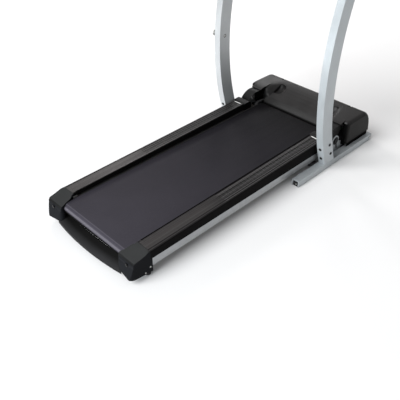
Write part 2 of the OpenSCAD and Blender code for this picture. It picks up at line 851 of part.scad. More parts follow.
module latch_knob() {
    color([0.5, 0.5, 0.52]) shift() mirror([1, 0, 0]) {
        rod_x(post_x + 0.6, post_x + post_w + 34, latch_y, latch_z, 6);
        rod_x(post_x + post_w + 25.5, post_x + post_w + 30, latch_y, latch_z, 12);
        rod_x(post_x + post_w + 29.5, post_x + post_w + 36, latch_y, latch_z, 17);
    }
}

// frame of the console face: x, up the slope, out of the face
module face() {
    translate([0, con_y, console_z]) rotate([console_tilt, 0, 0]) children();
}

module console_2d(g) {
    offset(delta = -g) polygon([[con_y - 8, console_z - 24], [con_y - 10, console_z - 8],
        [con_y, console_z], [con_y + 250 * cos(console_tilt), console_z + 250 * sin(console_tilt)],
        [1340, 1205], [1358, 1190], [1364, 1150], [1362, 1096], [1240, 1084], [1140, 1050]]);
}

module console_slab(x, g) {
    along_x(x, x + 0.5) console_2d(g);
}

module console_solid(w, g) {
    hull() {
        console_slab(-w, 12 + g);
        console_slab(-w + 6, 4 + g);
        console_slab(-w + 16, g);
        console_slab(w - 16.5, g);
        console_slab(w - 6.5, 4 + g);
        console_slab(w - 0.5, 12 + g);
    }
}

module console_shell() {
    color([0.1, 0.1, 0.11]) shift() difference() {
        union() {
            difference() {
                console_solid(352, 0);
                console_solid(348.5, 3.5);
            }
            // cup wells
            both() intersection() {
                console_solid(352, 0);
                translate([240, 1200, 1000]) cylinder(r = 40, h = 300);
            }
        }
        face() box([-360, -60, -3], [360, 249, 60]);
        face() box([-345, 4, -3.8], [345, 244, 0]);
        both() translate([240, 1200, 1080]) cylinder(r = 36.5, h = 200);
        // sockets for the uprights
        both() arc_bar(post_x - 0.4, post_x + post_w + 0.4, post_r - post_d - 0.4, post_r + 0.4,
            1000, post_top_z + 1);
    }
}

module console_face() {
    color([0.2, 0.21, 0.22]) shift() difference() {
        face() box([-338, 1.5, -3], [338, 247, 0]);
        both() translate([240, 1200, 1000]) cylinder(r = 36.5, h = 300);
        face() {
            box([-105, 128, -5], [105, 226, 5]);
            translate([-70, 84, -5]) cylinder(r = 17.4, h = 10);
            translate([70, 84, -5]) cylinder(r = 17.4, h = 10);
            translate([-24, 84, -5]) cylinder(r = 11.4, h = 10);
            translate([24, 84, -5]) cylinder(r = 11.4, h = 10);
            translate([0, 34, -5]) cylinder(r = 9.4, h = 10);
        }
    }
}

module console_display() {
    color([0.03, 0.05, 0.05]) shift() face() {
        box([-104.5, 128.5, -3.5], [104.5, 225.5, -0.6]);
        box([-112, 122, -7], [112, 232, -3.4]);
    }
}

module button(x, y, r) {
    face() translate([x, y, -9]) {
        cylinder(r = r, h = 10.4);
        translate([0, 0, 10.3]) cylinder(r1 = r, r2 = r - 1.2, h = 1.4);
        cylinder(r = r + 2, h = 3);
    }
}

module button_start() {
    color([0.1, 0.45, 0.2]) shift() button(-70, 84, 17);
}

module button_stop() {
    color([0.65, 0.08, 0.06]) shift() button(70, 84, 17);
}

module button_faster() {
    color([0.6, 0.62, 0.64]) shift() button(24, 84, 11);
}

module button_slower() {
    color([0.6, 0.62, 0.64]) shift() button(-24, 84, 11);
}

module safety_key() {
    color([0.7, 0.1, 0.07]) shift() face() translate([0, 34, 0]) {
        translate([0, 0, -14]) cylinder(r = 9, h = 16);
        translate([0, 0, 0.5]) cylinder(r = 14, h = 4);
        box([-3, -12, 4], [3, 12, 15]);
    }
}

// ---- the assembly ----
base_channel_right();
base_channel_left();
cross_tubes();
foot_pads();
pivot_plates();
pivot_bolts();
post_sockets();
upright_right();
upright_left();
post_bolts();
wheel_right();
wheel_left();
wheel_axles();
motor_pan();
hood();
hood_screws();
motor_body();
motor_rotor();
drive_belt();
controller();
power_inlet();
power_switch();
side_rail_right();
side_rail_left();
deck_crossmembers();
deck_board();
deck_isolators();
deck_lugs();
front_axle();
front_roller();
roller_pulley();
rear_axle();
rear_roller();
rear_adjusters();
walking_belt();
foot_rail_right();
foot_rail_left();
rail_end_blocks();
pivot_covers();
end_cap_right();
end_cap_left();
rear_skirt();
belt_guides();
rear_feet();
handrail_right();
handrail_left();
grip_right();
grip_left();
latch_housing();
latch_knob();
console_shell();
console_face();
console_display();
button_start();
button_stop();
button_faster();
button_slower();
safety_key();
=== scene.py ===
"""Looks of the treadmill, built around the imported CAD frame. Metres, row frame."""
import math

import bmesh
import bpy
from mathutils import Matrix, Vector


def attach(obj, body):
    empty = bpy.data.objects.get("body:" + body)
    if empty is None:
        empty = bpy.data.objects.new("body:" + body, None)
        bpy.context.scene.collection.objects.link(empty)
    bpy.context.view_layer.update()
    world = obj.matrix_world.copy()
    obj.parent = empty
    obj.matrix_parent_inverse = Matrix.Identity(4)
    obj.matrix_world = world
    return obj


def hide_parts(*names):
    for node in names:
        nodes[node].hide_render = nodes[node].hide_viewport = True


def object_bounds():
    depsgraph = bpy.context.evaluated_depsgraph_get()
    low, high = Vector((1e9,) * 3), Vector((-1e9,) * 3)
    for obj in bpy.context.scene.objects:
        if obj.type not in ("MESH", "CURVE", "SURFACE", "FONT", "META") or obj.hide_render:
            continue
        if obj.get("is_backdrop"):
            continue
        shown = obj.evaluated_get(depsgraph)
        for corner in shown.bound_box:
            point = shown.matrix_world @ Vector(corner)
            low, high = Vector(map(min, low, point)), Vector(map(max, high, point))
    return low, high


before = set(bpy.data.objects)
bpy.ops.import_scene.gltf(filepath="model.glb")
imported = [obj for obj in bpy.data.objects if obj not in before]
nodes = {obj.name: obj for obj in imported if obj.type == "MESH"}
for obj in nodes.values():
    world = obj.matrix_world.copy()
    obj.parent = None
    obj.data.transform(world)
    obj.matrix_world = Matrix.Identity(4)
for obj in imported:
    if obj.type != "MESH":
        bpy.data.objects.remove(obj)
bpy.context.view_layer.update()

scene = bpy.context.scene

SIDES = ((1, "right"), (-1, "left"))
REAR_FACE = -0.825  # y of the deck's rear face in the row frame


def Y(mm):
    """Millimetres from the rear face of the deck to metres in the row frame."""
    return mm / 1000 + REAR_FACE


# ---------------------------------------------------------------- camera
CAMERA_AT = Vector((1.6195, -1.7370, 1.6738))
CAMERA_AIM = Vector((0.1759, -0.3210, 0.1))
LENS = 50.92
SENSOR = 36


def place_camera():
    """Camera over the right rear corner, and plain colours in the picture."""
    camera = bpy.data.objects.new("camera", bpy.data.cameras.new("camera"))
    scene.collection.objects.link(camera)
    camera.location = CAMERA_AT
    camera.rotation_mode = "QUATERNION"
    camera.rotation_quaternion = (CAMERA_AIM - CAMERA_AT).to_track_quat("-Z", "Y")
    camera.data.lens = LENS
    camera.data.sensor_width = SENSOR
    camera.data.clip_start = 0.05
    camera.data.clip_end = 60
    scene.camera = camera
    scene.view_settings.view_transform = "Standard"
    scene.view_settings.look = "None"


place_camera()


# ---------------------------------------------------------------- materials
def grey(value):
    """Neutral colour."""
    return (value, value, value)


def scaled(colour, factor):
    """The colour, darker or lighter by a factor."""
    return tuple(c * factor for c in colour)


class Look:
    """A Principled material whose textures are read in metres on the object."""

    def __init__(self, name, metal=0.0, coat=0.0, coat_rough=0.15, specular=0.5, sheen=0.0):
        self.material = bpy.data.materials.new(name)
        self.material.use_nodes = True
        self.nodes = self.material.node_tree.nodes
        self.links = self.material.node_tree.links
        self.shader = self.nodes["Principled BSDF"]
        self.shader.inputs["Metallic"].default_value = metal
        self.shader.inputs["Coat Weight"].default_value = coat
        self.shader.inputs["Coat Roughness"].default_value = coat_rough
        self.shader.inputs["Specular IOR Level"].default_value = specular
        self.shader.inputs["Sheen Weight"].default_value = sheen
        self.shader.inputs["Sheen Roughness"].default_value = 0.4
        self.place = self.nodes.new("ShaderNodeTexCoord").outputs["Object"]
        self.normal = None

    def at(self, stretch=(1, 1, 1), turn=(0, 0, 0)):
        """Place on the object, stretched and turned."""
        node = self.nodes.new("ShaderNodeMapping")
        node.inputs["Scale"].default_value = stretch
        node.inputs["Rotation"].default_value = turn
        self.links.new(self.place, node.inputs["Vector"])
        return node.outputs["Vector"]

    def noise(self, scale, detail=3, rough=0.55, stretch=(1, 1, 1)):
        """Soft noise, 0..1."""
        node = self.nodes.new("ShaderNodeTexNoise")
        node.inputs["Scale"].default_value = scale
        node.inputs["Detail"].default_value = detail
        node.inputs["Roughness"].default_value = rough
        self.links.new(self.at(stretch), node.inputs["Vector"])
        return node.outputs["Fac"]

    def cells(self, scale, feature="F1"):
        """Distance from the middles or edges of small cells."""
        node = self.nodes.new("ShaderNodeTexVoronoi")
        node.feature = feature
        node.inputs["Scale"].default_value = scale
        self.links.new(self.at(), node.inputs["Vector"])
        return node.outputs["Distance"]

    def wave(self, scale, axis, turn=(0, 0, 0)):
        """Straight regular bands across an axis, 0..1."""
        node = self.nodes.new("ShaderNodeTexWave")
        node.bands_direction = axis
        node.inputs["Scale"].default_value = scale
        node.inputs["Distortion"].default_value = 0
        node.inputs["Detail"].default_value = 1
        self.links.new(self.at(turn=turn), node.inputs["Vector"])
        return node.outputs["Fac"]

    def span(self, value, a, b, c=0.0, d=1.0, smooth=False):
        """The value's range a..b mapped to c..d, clamped."""
        node = self.nodes.new("ShaderNodeMapRange")
        if smooth:
            node.interpolation_type = "SMOOTHSTEP"
        for key, x in zip(("From Min", "From Max", "To Min", "To Max"), (a, b, c, d)):
            node.inputs[key].default_value = x
        self.links.new(value, node.inputs["Value"])
        return node.outputs["Result"]

    def math(self, what, a, b):
        """One arithmetic step on two values or numbers."""
        node = self.nodes.new("ShaderNodeMath")
        node.operation = what
        for i, x in enumerate((a, b)):
            if isinstance(x, (int, float)):
                node.inputs[i].default_value = x
            else:
                self.links.new(x, node.inputs[i])
        return node.outputs[0]

    def times(self, first, *others):
        """Product of the values."""
        out = first
        for x in others:
            out = self.math("MULTIPLY", out, x)
        return out

    def axis(self, which):
        """Place on the object along x, y or z (0, 1 or 2)."""
        node = self.nodes.new("ShaderNodeSeparateXYZ")
        self.links.new(self.place, node.inputs[0])
        return node.outputs[which]

    def faces(self, which):
        """How far the surface faces along X, Y or Z, -1..1."""
        geometry = self.nodes.new("ShaderNodeNewGeometry")
        node = self.nodes.new("ShaderNodeSeparateXYZ")
        self.links.new(geometry.outputs["Normal"], node.inputs[0])
        return node.outputs[which]

    def facing(self, which, a, b):
        """0..1 as the surface's direction along an axis runs from a to b."""
        return self.span(self.faces(which), a, b)

    def mix(self, fac, a, b):
        """Colour a where fac is 0, colour b where it is 1."""
        node = self.nodes.new("ShaderNodeMix")
        node.data_type = "RGBA"
        if isinstance(fac, (int, float)):
            node.inputs["Factor"].default_value = fac
        else:
            self.links.new(fac, node.inputs["Factor"])
        for key, x in (("A", a), ("B", b)):
            socket = [s for s in node.inputs if s.name == key and s.type == "RGBA"][0]
            if isinstance(x, tuple):
                socket.default_value = (*x, 1)
            else:
                self.links.new(x, socket)
        return [s for s in node.outputs if s.type == "RGBA"][0]

    def bump(self, height, distance, strength=1.0):
        """Adds a relief of that height in metres."""
        node = self.nodes.new("ShaderNodeBump")
        node.inputs["Distance"].default_value = distance
        node.inputs["Strength"].default_value = strength
        self.links.new(height, node.inputs["Height"])
        if self.normal is not None:
            self.links.new(self.normal, node.inputs["Normal"])
        self.normal = node.outputs["Normal"]

    def done(self, colour, rough):
        """Joins the colour, roughness and relief to the shader."""
        self.links.new(colour, self.shader.inputs["Base Color"])
        self.links.new(rough, self.shader.inputs["Roughness"])
        if self.normal is not None:
            self.links.new(self.normal, self.shader.inputs["Normal"])
        return self.material


def paint(name, colour, rough=0.4, metal=0.3, coat=0.2):
    """Sprayed metallic paint: fine flake, orange peel, hairline scuffs near the floor."""
    k = Look(name, metal=metal, coat=coat, coat_rough=0.3)
    flake = k.cells(2600)
    cloud = k.noise(7, 3)
    scuff = k.span(k.noise(26, 6, 0.7, (1, 1, 7)), 0.66, 0.74)
    low = k.span(k.axis(2), 0.0, 0.5, 1.0, 0.15)
    marks = k.times(scuff, low)
    tone = k.mix(k.span(cloud, 0.3, 0.7), scaled(colour, 0.9), scaled(colour, 1.07))
    tone = k.mix(k.span(flake, 0.0, 0.5, 0.0, 0.12), tone, scaled(colour, 0.55))
    tone = k.mix(k.times(marks, 0.35), tone, scaled(colour, 0.62))
    k.bump(k.noise(420, 2), 0.00008, 0.5)
    k.bump(flake, 0.00002, 0.3)
    k.bump(marks, -0.00004, 0.5)
    uneven = k.math("ADD", cloud, k.times(marks, 0.5))
    return k.done(tone, k.span(uneven, 0.3, 1.1, rough - 0.05, rough + 0.14))


def plastic(
    name,
    colour,
    rough=0.45,
    grain=1100,
    relief=0.00006,
    dust=0.35,
    spread=0.18,
    coat=0.0,
    shine=0.10,
    side=0.45,
    top=1.0,
    rear=0.0,
    shaded=None,
):
    """Moulded plastic: leather-like grain, flow clouds, a little dust on top faces.

    side is how much of its colour an upright face keeps, the rest painted shade; top how much
    paler a level face is, painted light; rear how dark a face that looks back is, painted shade;
    and shaded the two heights between which it turns black, a painted shadow."""
    k = Look(name, coat=coat, coat_rough=0.35, specular=shine)
    cloud = k.noise(9, 4)
    fine = k.cells(grain, "SMOOTH_F1")
    soft = k.noise(grain * 0.55, 3)
    speck = k.span(k.noise(1500, 2, 0.6), 0.66, 0.76)
    dust_at = k.times(k.facing("Z", 0.3, 0.95), speck, dust)
    tone = k.mix(k.span(cloud, 0.3, 0.7), scaled(colour, 1 - spread), scaled(colour, 1 + spread))
    tone = k.mix(k.span(soft, 0.35, 0.65, 0.0, 0.25), tone, scaled(colour, 1.5))
    tone = k.mix(dust_at, tone, (0.11, 0.105, 0.10))
    # painted light: level faces paler
    if top > 1:
        tone = k.mix(k.span(k.faces("Z"), 0.90, 0.985, 0.0, 0.55), tone, scaled(colour, top))
    # painted shade: upright faces darkened towards black
    tone = k.mix(k.span(k.faces("Z"), 0.35, 0.85, 1 - side, 0.0), tone, grey(0.0004))
    # painted shade: faces that look back darkened
    if rear:
        tone = k.mix(k.times(k.facing("Y", -0.55, -0.9), rear), tone, grey(0.0003))
    # painted shadow: black between the two heights of shaded
    if shaded:
        tone = k.mix(k.span(k.axis(2), *shaded), tone, grey(0.0003))
    k.bump(fine, relief, 0.7)
    k.bump(soft, relief * 0.8, 0.6)
    k.bump(k.noise(60, 2), 0.00012, 0.25)
    uneven = k.math("ADD", cloud, k.times(soft, 0.4))
    return k.done(tone, k.span(uneven, 0.4, 1.0, rough - 0.06, rough + 0.12))


def steel(name, colour, rough=0.3, metal=1.0, along="X", coarse=1.0):
    """Plated or turned steel: tool lines, blotches, small spots."""
    k = Look(name, metal=metal)
    stretch = {"X": (1, 40, 40), "Y": (40, 1, 40), "Z": (40, 40, 1)}[along]
    lines = k.noise(30 * coarse, 4, 0.7, stretch)
    blot = k.noise(45, 4)
    spot = k.span(k.noise(420, 2), 0.68, 0.78)
    tone = k.mix(k.span(blot, 0.3, 0.7), scaled(colour, 0.82), colour)
    tone = k.mix(k.times(spot, 0.4), tone, scaled(colour, 0.4))
    k.bump(lines, 0.00003, 0.5)
    k.bump(blot, 0.00005, 0.3)
    uneven = k.math("ADD", lines, blot)
    return k.done(tone, k.span(uneven, 0.7, 1.3, rough - 0.07, rough + 0.16))


def rubber(name, colour=(0.016, 0.016, 0.017), rough=0.78, grain=700):
    """Matt rubber: pitted, with pale chalky spots."""
    k = Look(name, specular=0.35)
    cloud = k.noise(22, 4)
    tone = k.mix(k.span(cloud, 0.3, 0.7), scaled(colour, 0.75), scaled(colour, 1.4))
    tone = k.mix(k.span(k.noise(300, 3), 0.62, 0.8, 0.0, 0.35), tone, (0.07, 0.066, 0.06))
    k.bump(k.cells(grain), 0.00012, 0.6)
    k.bump(cloud, 0.0002, 0.3)
    return k.done(tone, k.span(cloud, 0.3, 0.7, rough - 0.08, rough + 0.1))


def belt_look():
    """Walking belt: black PVC with a fine embossed diamond weave and faint wear lines along it.

    Painted shade makes it darker towards the hood and its underside black, and two paler lines
    where it bends over the rear roller are painted highlights."""
    k = Look("belt_pvc", specular=0.07)
    diagonal = (0, 0, math.radians(45))
    weave = k.times(k.wave(250, "X", diagonal), k.wave(250, "Y", diagonal))
    cloud = k.noise(3.2, 5, 0.6)
    mottle = k.noise(160, 4, 0.7)
    streak = k.noise(34, 4, 0.6, (1, 0.03, 0.03))
    left_half = k.span(k.axis(0), -0.16, 0.0, 0.0, 1.0, True)
    right_half = k.span(k.axis(0), 0.0, 0.16, 1.0, 0.0, True)
    walk = k.times(left_half, right_half)
    rub = k.span(k.noise(24, 5, 0.7, (1, 0.35, 1)), 0.68, 0.73)
    tone = k.mix(k.span(cloud, 0.3, 0.7), (0.0318, 0.0295, 0.0380), (0.0408, 0.0377, 0.0484))
    tone = k.mix(k.span(streak, 0.4, 0.75, 0.0, 0.22), tone, (0.056, 0.052, 0.064))
    tone = k.mix(k.span(mottle, 0.5, 0.75, 0.0, 0.35), tone, (0.058, 0.054, 0.066))
    tone = k.mix(k.times(rub, walk, 0.55), tone, (0.020, 0.019, 0.023))
    # painted shade: darker towards the hood
    tone = k.mix(k.span(k.axis(1), -0.80, 0.56, 0.0, 0.95), tone, (0.0028, 0.0028, 0.0030))
    # painted highlights: two paler lines where the belt bends over the rear roller
    back = k.span(k.axis(1), -0.765, -0.78)
    crest_highlight = k.times(k.facing("Z", 0.985, 0.97), k.facing("Z", 0.91, 0.95))
    brow_highlight = k.times(k.facing("Z", 0.72, 0.62), k.facing("Z", 0.20, 0.36))
    tone = k.mix(k.times(crest_highlight, back, 0.55), tone, (0.095, 0.090, 0.105))
    tone = k.mix(k.times(brow_highlight, back, 0.75), tone, (0.100, 0.094, 0.108))
    # painted shade: the underside black
    tone = k.mix(k.facing("Z", 0.22, 0.02), tone, grey(0.0006))
    k.bump(weave, 0.00022, 0.5)
    k.bump(mottle, 0.00012, 0.4)
    k.bump(k.noise(5, 2, 0.5, (1, 0.4, 1)), 0.0008, 0.2)
    return k.done(tone, k.span(k.math("ADD", streak, mottle), 0.7, 1.3, 0.50, 0.66))


# painted highlights along the ribs of a foot rail: distance from the middle of the deck, and half width
RAIL_HIGHLIGHTS = (
    (0.2395, 0.0042),
    (0.2485, 0.0030),
    (0.2690, 0.0042),
    (0.2845, 0.0042),
    (0.2965, 0.0030),
)


def rail_look():
    """Foot rail: dark plastic, smooth and worn at the rear, and cross-ribbed in the forward part.

    Pale lines along its ribs and a pale band down the middle of the rear part are painted highlights.
    The darker forward part and the black inner edge and upright faces are painted shade."""
    k = Look("foot_rail_plastic", specular=0.24)
    cloud = k.noise(5, 4, 0.6, (1, 0.35, 1))
    draw = k.noise(60, 4, 0.65, (1, 0.02, 1))
    grain = k.cells(1300, "SMOOTH_F1")
    fine = k.wave(190, "X")
    forward = k.span(k.axis(1), -0.285, -0.275)
    ribs = k.times(k.span(k.wave(13.4, "Y"), 0.35, 0.65), forward)
    scuff = k.span(k.noise(30, 6, 0.75, (1, 0.3, 1)), 0.60, 0.72)
    worn = k.span(k.axis(1), -0.4, -0.1, 1.0, 0.15, True)
    tone = k.mix(k.span(cloud, 0.3, 0.7), (0.0065, 0.0058, 0.0060), (0.0110, 0.0098, 0.0100))
    tone = k.mix(k.span(draw, 0.4, 0.7, 0.0, 0.35), tone, (0.020, 0.018, 0.018))
    tone = k.mix(k.times(scuff, worn, 0.4), tone, (0.030, 0.027, 0.027))
    across = k.math("ABSOLUTE", k.axis(0), 0)
    # painted highlights: pale lines along the ribs
    lines = None
    for x, half in RAIL_HIGHLIGHTS:
        away = k.math("ABSOLUTE", k.math("SUBTRACT", across, x), 0)
        near = k.span(away, half * 0.4, half, 1.0, 0.0)
        lines = near if lines is None else k.math("MAXIMUM", lines, near)
    # painted highlight: a pale band down the middle of the rail's rear part
    inner_half = k.span(across, 0.235, 0.262, 0.0, 1.0, True)
    outer_half = k.span(across, 0.272, 0.298, 1.0, 0.0, True)
    middle = k.times(inner_half, outer_half)
    painted_sheen_rear = k.span(k.axis(1), -0.40, -0.27, 1.0, 0.0, True)
    tone = k.mix(k.times(middle, painted_sheen_rear, 0.7), tone, (0.030, 0.0265, 0.0265))
    # painted shade: the forward part darker
    tone = k.mix(k.times(forward, 0.55), tone, (0.0030, 0.0028, 0.0030))
    tone = k.mix(k.times(ribs, 0.22), tone, (0.022, 0.021, 0.021))
    tone = k.mix(k.times(lines, k.span(forward, 0, 1, 0.2, 0.8)), tone, (0.062, 0.059, 0.060))
    # painted shade: the inner edge black at the gap by the belt, and upright faces black
    tone = k.mix(k.span(across, 0.2288, 0.2312, 0.96, 0.0), tone, grey(0.0004))
    tone = k.mix(k.span(k.faces("Z"), 0.1, 0.8, 0.97, 0.0), tone, grey(0.0004))
    k.bump(ribs, 0.0011, 0.35)
    k.bump(fine, 0.00016, 0.5)
    k.bump(draw, 0.00006, 0.5)
    k.bump(grain, 0.00005, 0.5)
    return k.done(tone, k.span(k.math("ADD", cloud, draw), 0.7, 1.3, 0.34, 0.52))


def board_look():
    """Deck board: dense wood fibre with a dark waxed face."""
    k = Look("fibre_board")
    fibre = k.noise(600, 5, 0.7, (1, 0.35, 1))
    cloud = k.noise(14, 4)
    raw = k.mix(k.span(fibre, 0.35, 0.65), (0.20, 0.13, 0.07), (0.36, 0.25, 0.15))
    face = k.mix(k.span(cloud, 0.3, 0.7), (0.02, 0.019, 0.018), (0.032, 0.03, 0.028))
    k.bump(fibre, 0.0002, 0.5)
    return k.done(k.mix(k.facing("Z", 0.4, 0.6), raw, face), k.span(fibre, 0.3, 0.7, 0.45, 0.7))


def foam_look():
    """Grip foam: fine pores, soft dents."""
    k = Look("grip_foam", specular=0.3, sheen=0.15)
    pore = k.cells(900)
    dent = k.noise(90, 3)
    tone = k.mix(k.span(pore, 0.1, 0.6), grey(0.008), (0.028, 0.028, 0.029))
    tone = k.mix(k.span(dent, 0.5, 0.8, 0.0, 0.4), tone, (0.045, 0.044, 0.043))
    k.bump(pore, 0.0003, 0.8)
    k.bump(dent, 0.0006, 0.3)
    return k.done(tone, k.span(dent, 0.3, 0.7, 0.82, 0.95))


def circuit_look():
    """Motor controller: green board with paler tracks and dark blotches."""
    k = Look("circuit_board", coat=0.2)
    track = k.span(k.cells(160, "DISTANCE_TO_EDGE"), 0.02, 0.05)
    blot = k.noise(60, 4)
    tone = k.mix(track, (0.10, 0.28, 0.12), (0.02, 0.12, 0.05))
    tone = k.mix(k.span(blot, 0.55, 0.75, 0, 0.6), tone, (0.02, 0.02, 0.022))
    k.bump(track, 0.0001, 0.5)
    return k.done(tone, k.span(blot, 0.3, 0.7, 0.35, 0.6))


def drive_look():
    """Drive belt: rubber with ribs along it."""
    k = Look("poly_v_belt", specular=0.4)
    ribs = k.wave(130, "X")
    cloth = k.noise(700, 3)
    tone = k.mix(k.span(ribs, 0.2, 0.8), (0.010, 0.010, 0.011), (0.030, 0.030, 0.031))
    k.bump(ribs, 0.0006, 0.8)
    k.bump(cloth, 0.0001, 0.4)
    return k.done(tone, k.span(cloth, 0.3, 0.7, 0.6, 0.8))


def glass_look():
    """Smoked window over the read-outs."""
    k = Look("display_window", coat=1.0, coat_rough=0.06)
    smear = k.noise(38, 5, 0.7, (1, 2, 2))
    tone = k.mix(k.span(smear, 0.3, 0.7), (0.006, 0.008, 0.008), (0.012, 0.015, 0.015))
    k.bump(smear, 0.00004, 0.2)
    return k.done(tone, k.span(smear, 0.3, 0.7, 0.10, 0.24))


def led_look(name, colour, power):
    """A read-out's segment that glows with that power."""
    k = Look(name)
    dot = k.noise(2400, 1)
    tone = k.mix(k.span(dot, 0.3, 0.7), scaled(colour, 0.7), colour)
    k.shader.inputs["Emission Strength"].default_value = power
    k.links.new(tone, k.shader.inputs["Emission Color"])
    return k.done(tone, k.span(dot, 0.3, 0.7, 0.4, 0.5))


SILVER = paint("silver_paint", (0.47, 0.505, 0.525), 0.38, 0.30, 0.25)
# paler copy of the silver paint for the left upright: painted light
SILVER_LIT_FAR = paint("silver_paint_left_painted_light", (0.53, 0.55, 0.56), 0.38, 0.30, 0.25)
SILVER_LOW = paint("silver_paint_base", (0.44, 0.47, 0.49), 0.42, 0.28, 0.15)
# hood: level faces paler, painted light; upright faces darker and faces that look back black, painted
# shade
HOOD = plastic(
    "hood_plastic", (0.0170, 0.0162, 0.0162), 0.38, 900, 0.00005, 0.22,
    shine=0.2, side=0.38, top=1.7, rear=0.97,
)
# darker copy of the hood's look for its upright faces: painted shade
HOOD_SHADED_SIDE = plastic(
    "hood_side_painted_shade", (0.0140, 0.0135, 0.0130), 0.45, 900, 0.00005, 0.1,
    shine=0.08, side=1.0, rear=0.97,
)
# end caps: level faces paler, painted light; upright faces almost black, painted shade
CAP = plastic(
    "cap_plastic", (0.0230, 0.0238, 0.0240), 0.42, 800, 0.00008, 0.25, 0.2,
    shine=0.06, side=0.06, top=1.35,
)
# darker copy of the caps' look for their upright faces: painted shade
CAP_SHADED_SIDE = plastic(
    "cap_side", (0.0075, 0.0080, 0.0095), 0.55, 800, 0.00008, 0.1, shine=0.04, side=1.0,
)
# darker copy of the foot rails' look for their upright faces: painted shade
RAIL_SHADED_SIDE = plastic(
    "foot_rail_side_painted_shade", (0.0035, 0.0033, 0.0034), 0.6, 900, 0.00005, 0.1, shine=0.03, side=1.0,
)
# rear skirt: its upper band turns black, a painted shadow under the belt
SKIRT = plastic(
    "skirt_plastic", (0.0150, 0.0150, 0.0160), 0.50, 700, 0.00008, 0.3, shaded=(0.036, 0.049),
)
# rail end blocks and pivot covers: upright faces almost black, painted shade
BLOCK = plastic("block_plastic", (0.0150, 0.0150, 0.0155), 0.42, 900, 0.00006, 0.25, side=0.04)
PAN = plastic("pan_plastic", (0.014, 0.014, 0.015), 0.55, 700, 0.00008, 0.4)
SHELL = plastic("console_plastic", (0.0165, 0.0170, 0.0180), 0.42, 800, 0.00007, 0.2)
FACE = plastic("console_overlay", (0.045, 0.050, 0.056), 0.46, 1600, 0.00002, 0.15, 0.06)
BLACK = plastic("black_plastic", (0.011, 0.011, 0.012), 0.4, 1000, 0.00005, 0.2)
# black rubber for the hood seals, and near-black for the strips and sheets that are painted shade
TRIM_AND_SHADE = plastic("black_trim_and_painted_shade", grey(0.0012), 0.7, 1000, 0.00003, 0.02, shine=0.02)
# white of the button marks, and of the rail blocks' painted highlights
WHITE_AND_HIGHLIGHT = plastic("white_inlay_and_painted_highlight", (0.72, 0.72, 0.71), 0.5, 1000, 0.00003, 0.0, 0.04)
GREY = plastic("grey_print", (0.34, 0.35, 0.36), 0.5, 1200, 0.00002, 0.0, 0.05)
GREEN = plastic("button_green", (0.035, 0.30, 0.07), 0.35, 1400, 0.00002, 0.0, 0.08, 0.3)
RED = plastic("button_red", (0.42, 0.018, 0.012), 0.35, 1400, 0.00002, 0.0, 0.08, 0.3)
PALE = plastic("button_grey", (0.42, 0.44, 0.46), 0.4, 1400, 0.00002, 0.0, 0.05, 0.2)
ALU = steel("side_rail_aluminium", (0.47, 0.48, 0.49), 0.42, 0.75, "Y", 0.6)
ZINC = steel("zinc_plate", (0.60, 0.60, 0.58), 0.30, 1.0, "X")
TURNED = steel("turned_steel", grey(0.50), 0.26, 1.0, "X", 2.0)
DARK = steel("black_oxide", (0.016, 0.016, 0.017), 0.42, 0.7, "Z")
MOTOR = paint("motor_enamel", (0.035, 0.036, 0.038), 0.42, 0.2, 0.3)
FRAME = paint("frame_enamel", (0.030, 0.030, 0.032), 0.45, 0.1, 0.2)
LUG = paint("lug_enamel", (0.10, 0.105, 0.11), 0.45, 0.3, 0.2)
RUBBER = rubber("rubber")
WHEEL = rubber("wheel_rubber", (0.022, 0.022, 0.023), 0.6, 500)
LED = led_look("led_amber", (1.0, 0.30, 0.05), 1.6)
LED_OFF = led_look("led_off", (0.030, 0.012, 0.006), 0.0)
FOAM = foam_look()

LOOKS = {
    SILVER_LIT_FAR: "upright_left",
    SILVER: "upright_right handrail_right handrail_left pivot_plates",
    SILVER_LOW: "base_channel_right base_channel_left",
    HOOD: "hood",
    CAP: "end_cap_right end_cap_left",
    BLOCK: "rail_end_blocks pivot_covers",
    SKIRT: "rear_skirt",
    PAN: "motor_pan",
    SHELL: "console_shell",
    FACE: "console_face",
    BLACK: "power_inlet latch_housing",
    rail_look(): "foot_rail_right foot_rail_left",
    belt_look(): "walking_belt",
    ALU: "side_rail_right side_rail_left",
    ZINC: "wheel_axles belt_guides latch_knob",
    TURNED: "rear_axle rear_roller motor_rotor",
    DARK: "post_bolts pivot_bolts hood_screws roller_pulley front_axle front_roller rear_adjusters",
    MOTOR: "motor_body",
    FRAME: "cross_tubes deck_crossmembers post_sockets",
    LUG: "deck_lugs",
    RUBBER: "foot_pads rear_feet deck_isolators",
    WHEEL: "wheel_right wheel_left",
    board_look(): "deck_board",
    circuit_look(): "controller",
    drive_look(): "drive_belt",
    glass_look(): "console_display",
    FOAM: "grip_right grip_left",
    GREEN: "button_start",
    RED: "button_stop power_switch safety_key",
    PALE: "button_faster button_slower",
}
# darker copies of the black mouldings' looks, painted shade, for faces steeper than LEVEL
SHADED_SIDE_LOOKS = {
    RAIL_SHADED_SIDE: "foot_rail_right foot_rail_left",
    CAP_SHADED_SIDE: "end_cap_right end_cap_left",
    HOOD_SHADED_SIDE: "hood",
}
LEVEL = 0.45


def dress_cad_pieces():
    """Gives each CAD node its look, and the black mouldings a darker copy, painted shade, on upright
    faces.
    """
    for look, names in LOOKS.items():
        for name in names.split():
            nodes[name].data.materials.clear()
            nodes[name].data.materials.append(look)
    for look, names in SHADED_SIDE_LOOKS.items():
        for name in names.split():
            mesh = nodes[name].data
            mesh.materials.append(look)
            for f in mesh.polygons:
                f.material_index = int(f.normal.z < LEVEL)


dress_cad_pieces()

